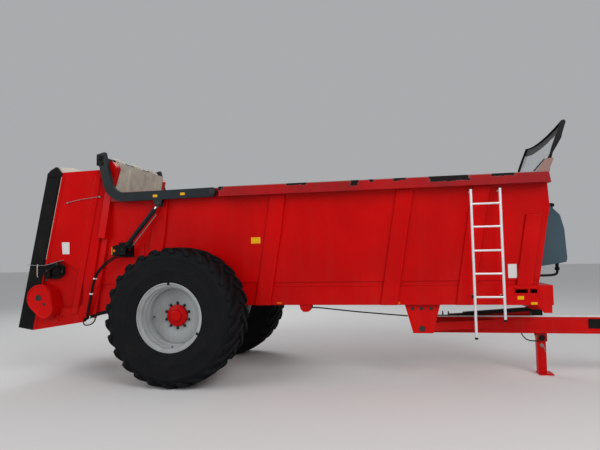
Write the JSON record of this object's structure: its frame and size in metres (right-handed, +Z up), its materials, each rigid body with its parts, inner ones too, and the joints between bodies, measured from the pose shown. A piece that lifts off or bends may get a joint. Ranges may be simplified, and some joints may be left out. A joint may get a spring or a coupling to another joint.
{
  "type": "manure spreader",
  "caption": "Towed rear-discharge manure spreader: narrow ribbed body, chain floor, lifting rear door on curved arms, upright beaters under a flared hood, big wheels.",
  "frame": {"origin": "on the ground, under the middle of the machine's length and width", "axes": "+X forward to the towing eye, +Y to the machine's left, +Z up"},
  "size_m": [9.1168, 2.929, 3.3335],
  "materials": {
    "body_red": "gloss",
    "dark_red": "satin",
    "slate": "satin",
    "worn_steel": "worn",
    "black_steel": "satin",
    "mesh_steel": "satin",
    "cast": "rough",
    "black_rubber": "matte",
    "lamp_red": "gloss",
    "ladder_alu": "satin",
    "rod_chrome": "polished",
    "tyre_rubber": "matte",
    "rim_silver": "satin"
  },
  "bodies": {
    "chassis": {"side_walls": "body_red", "side_ribs": "body_red", "top_rails": "body_red", "front_wall": "body_red", "floor_pan": "worn_steel", "cross_members": "dark_red", "longerons": "body_red", "nose_box": "body_red", "rear_posts": "dark_red", "front_screen": "black_steel", "screen_mesh": "mesh_steel", "front_tank": "slate", "axle_beam": "dark_red", "drawbar": "body_red", "drawbar_brackets": "dark_red", "drawbar_spring": "black_steel", "towing_eye": "cast", "stand_bracket": "dark_red", "input_gearbox": "cast", "drive_shaft": "black_steel", "rear_gearbox": "cast", "hood_sides": "body_red", "top_beam": "worn_steel", "deflectors": "black_rubber", "chain_cases": "body_red", "rear_bar": "dark_red", "tail_lamps": "lamp_red", "floor_chains": "worn_steel", "floor_slats": "worn_steel", "conveyor_shafts": "worn_steel", "ladder": "ladder_alu", "cylinder_brackets": "black_steel", "lift_hose": "black_rubber", "brake_line": "black_rubber"},
    "wheel_right": {"tyre_right": "tyre_rubber", "rim_right": "rim_silver", "hub_right": "body_red"},
    "wheel_left": {"tyre_left": "tyre_rubber", "rim_left": "rim_silver", "hub_left": "body_red"},
    "beater_right": {"beater_right": "body_red"},
    "beater_left": {"beater_left": "body_red"},
    "door_lift": {"door_arms": "slate"},
    "door": {"door_panel": "worn_steel"},
    "lift_barrels": {"lift_barrels": "slate"},
    "lift_rods": {"lift_rods": "rod_chrome"},
    "stand": {"stand_leg": "dark_red"}
  },
  "joints": [
    {"name": "wheel_right_spin", "type": "hinge", "parent": "chassis", "child": "wheel_right", "pos_m": [-2.05357, -1.1245, 0.925], "axis": [0, 1, 0], "continuous": true},
    {"name": "wheel_left_spin", "type": "hinge", "parent": "chassis", "child": "wheel_left", "pos_m": [-2.05357, 1.1245, 0.925], "axis": [0, 1, 0], "continuous": true},
    {"name": "beater_right_spin", "type": "hinge", "parent": "chassis", "child": "beater_right", "pos_m": [-3.81776, -0.36, 2.07561], "axis": [0.165, 0, 0.9863], "continuous": true},
    {"name": "beater_left_spin", "type": "hinge", "parent": "chassis", "child": "beater_left", "pos_m": [-3.81776, 0.36, 2.07561], "axis": [0.165, 0, 0.9863], "continuous": true},
    {"name": "door_lift", "type": "hinge", "parent": "chassis", "child": "door_lift", "pos_m": [-1.63357, 0, 2.62], "axis": [0, 1, 0], "range_deg": [0, 45]},
    {"name": "door_hang", "type": "hinge", "parent": "door_lift", "child": "door", "pos_m": [-3.36357, 0, 3.2], "axis": [0, 1, 0], "range_deg": [-45, 0]},
    {"name": "barrel_tilt", "type": "hinge", "parent": "chassis", "child": "lift_barrels", "pos_m": [-3.00357, 0, 1.84], "axis": [0, 1, 0], "range_deg": [-11.68, 0]},
    {"name": "rod_slide", "type": "slide", "parent": "lift_barrels", "child": "lift_rods", "axis": [0.6488, 0, 0.7609], "range_m": [0, 0.596]},
    {"name": "stand_swing", "type": "hinge", "parent": "chassis", "child": "stand", "pos_m": [2.81643, 0, 0.505], "axis": [0, 1, 0], "range_deg": [0, 90]}
  ],
  "couplings": [
    {"joint": "beater_left_spin", "follows": "beater_right_spin", "ratio": -1},
    {"joint": "door_hang", "follows": "door_lift", "ratio": -1},
    {"joint": "barrel_tilt", "follows": "door_lift", "ratio": -0.2593},
    {"joint": "rod_slide", "follows": "door_lift", "m_per_rad": 0.7576}
  ]
}
